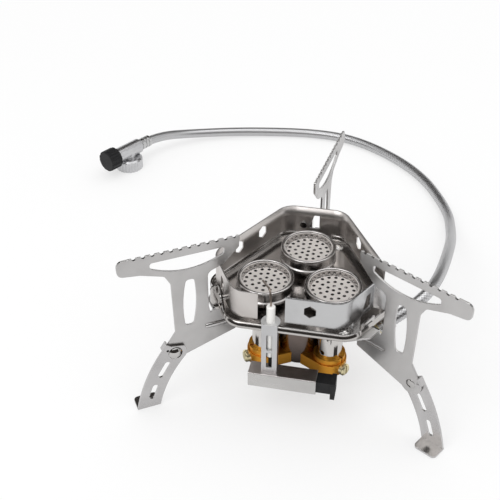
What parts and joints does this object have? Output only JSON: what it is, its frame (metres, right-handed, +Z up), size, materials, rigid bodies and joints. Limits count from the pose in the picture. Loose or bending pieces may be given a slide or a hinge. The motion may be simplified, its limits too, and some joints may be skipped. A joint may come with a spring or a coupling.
{
  "type": "folding camping stove",
  "caption": "Compact gas camping stove with folding pot supports, hinged legs, grouped burners in a windshield, spark igniter and a braided hose ending in a canister valve.",
  "frame": {"origin": "on the floor under the stove's axis, midway between the burners", "axes": "+Z up, -Y towards the front with the igniter, +X towards the hose inlet"},
  "size_m": [0.2909, 0.3516, 0.11],
  "materials": {
    "satin_steel": "satin stamped stainless sheet",
    "rivet_steel": "bright upset rivet",
    "mirror_steel": "polished stainless sheet",
    "shield_steel": "satin stainless sheet",
    "cup_steel": "polished spun stainless",
    "disc_steel": "perforated heat-resisting steel",
    "tube_steel": "polished tube",
    "gold_alloy": "gold anodised alloy",
    "brass": "turned brass",
    "case_steel": "satin folded sheet",
    "black_plastic": "matt black moulding",
    "ceramic": "white glazed ceramic",
    "wire_steel": "heat-resisting wire",
    "lead_sleeve": "black sleeve",
    "hose": "hose under woven stainless braid",
    "ferrule_steel": "crimped sleeve",
    "valve_alloy": "satin alloy",
    "seal_rubber": "rubber ring"
  },
  "bodies": {
    "stove": {"base_plate": "mirror_steel", "arm_pivots": "rivet_steel", "windshield_rear": "mirror_steel", "windshield_front": "shield_steel", "windshield_pins": "rivet_steel", "windshield_rivets": "rivet_steel", "burner_cup_rear": "cup_steel", "burner_cup_left": "cup_steel", "burner_cup_right": "cup_steel", "burner_disc_rear": "disc_steel", "burner_disc_left": "disc_steel", "burner_disc_right": "disc_steel", "mixing_tube_rear": "tube_steel", "mixing_tube_left": "tube_steel", "mixing_tube_right": "tube_steel", "gas_block_rear": "gold_alloy", "gas_block_left": "gold_alloy", "gas_block_right": "gold_alloy", "gas_chamber": "tube_steel", "block_screws": "brass", "gas_jets": "brass", "igniter_case": "case_steel", "igniter_bracket": "case_steel", "piezo_unit": "black_plastic", "insulator": "ceramic", "spark_electrode": "wire_steel", "ignition_lead": "lead_sleeve", "inlet_pipe": "brass", "hose_nut": "brass", "braided_hose": "hose", "hose_ferrules": "ferrule_steel", "valve_body": "valve_alloy", "valve_seal": "seal_rubber"},
    "arm_rear": {"arm_rear": "satin_steel", "leg_rivet_rear": "rivet_steel"},
    "leg_rear": {"leg_rear": "satin_steel"},
    "arm_left": {"arm_left": "satin_steel", "leg_rivet_left": "rivet_steel"},
    "leg_left": {"leg_left": "satin_steel"},
    "arm_right": {"arm_right": "satin_steel", "leg_rivet_right": "rivet_steel"},
    "leg_right": {"leg_right": "satin_steel"},
    "igniter_button": {"igniter_button": "black_plastic"},
    "valve_knob": {"valve_knob": "black_plastic"}
  },
  "joints": [
    {"name": "arm_rear_fold", "type": "hinge", "parent": "stove", "child": "arm_rear", "pos_m": [0.0158, 0.0435, 0.0621], "axis": [0, 0, 1], "range_deg": [-142.5, 10.5]},
    {"name": "arm_left_fold", "type": "hinge", "parent": "stove", "child": "arm_left", "pos_m": [-0.04557, -0.00807, 0.0621], "axis": [0, 0, 1], "range_deg": [-153, 0]},
    {"name": "arm_right_fold", "type": "hinge", "parent": "stove", "child": "arm_right", "pos_m": [0.02977, -0.03543, 0.0621], "axis": [0, 0, 1], "range_deg": [-149.6, 3.4]},
    {"name": "leg_rear_fold", "type": "hinge", "parent": "arm_rear", "child": "leg_rear", "pos_m": [0.00343, 0.08205, 0.0374], "axis": [-0.9914, 0.1305, 0], "range_deg": [0, 98]},
    {"name": "leg_left_fold", "type": "hinge", "parent": "arm_left", "child": "leg_left", "pos_m": [-0.06685, -0.04251, 0.0374], "axis": [0.5446, -0.8387, 0], "range_deg": [0, 98]},
    {"name": "leg_right_fold", "type": "hinge", "parent": "arm_right", "child": "leg_right", "pos_m": [0.07009, -0.03903, 0.0374], "axis": [0.506, 0.8625, 0], "range_deg": [0, 98]},
    {"name": "igniter_press", "type": "slide", "parent": "stove", "child": "igniter_button", "axis": [-1, 0, 0], "range_m": [0, 0.005], "stiffness_N_per_m": 2500, "springref_m": -0.001},
    {"name": "valve_turn", "type": "hinge", "parent": "stove", "child": "valve_knob", "pos_m": [-0.18318, 0.19859, 0.015], "axis": [-0.507, -0.8619, 0], "range_deg": [0, 720]}
  ]
}
